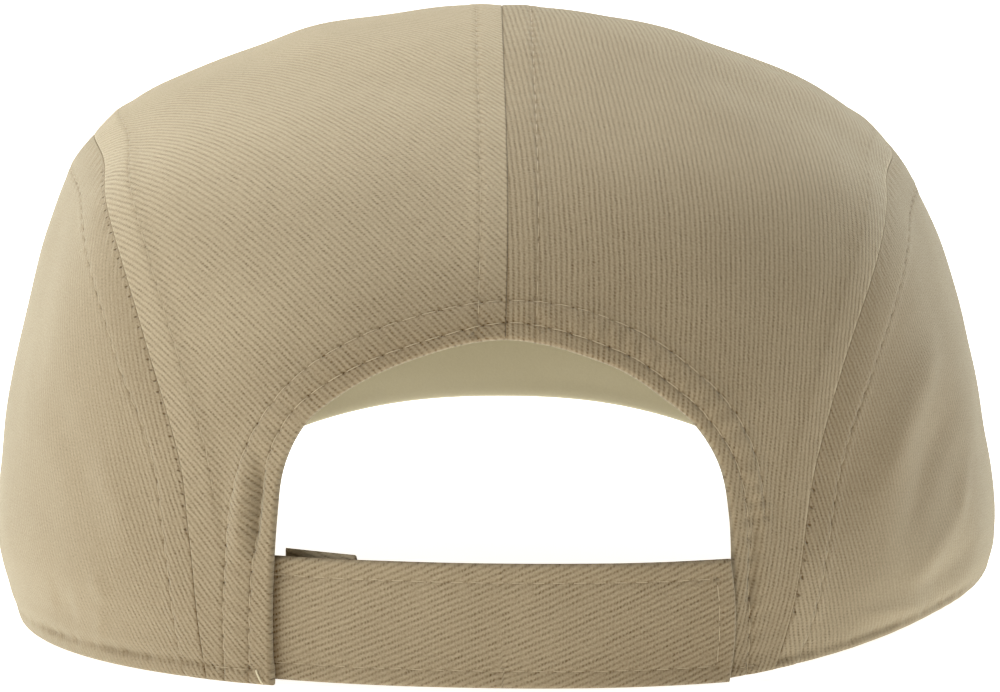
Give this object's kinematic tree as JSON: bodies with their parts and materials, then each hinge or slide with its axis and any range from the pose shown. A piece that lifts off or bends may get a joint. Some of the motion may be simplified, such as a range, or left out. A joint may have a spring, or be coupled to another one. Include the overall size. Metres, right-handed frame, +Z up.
{
  "type": "peaked camp cap",
  "caption": "Soft cotton camp cap with a flat-sewn dome, a curved peak, a sweatband and an arched rear opening closed by a two-part strap.",
  "frame": {"origin": "on the table, under the middle of the whole cap", "axes": "+Z up, +Y the way the peak points, +X to the right as seen from behind"},
  "size_m": [0.1854, 0.2616, 0.1127],
  "materials": {
    "twill": "matte washed cotton twill",
    "sweatband": "smooth plain cotton",
    "fastener_tape": "hook and loop tape"
  },
  "bodies": {
    "root": {"front_panel": "twill", "side_panel_left": "twill", "side_panel_right": "twill", "back_panel_left": "twill", "back_panel_right": "twill", "peak": "twill", "sweatband": "sweatband", "strap_outer": "twill", "strap_inner": "twill", "strap_fastener": "fastener_tape"}
  },
  "joints": []
}
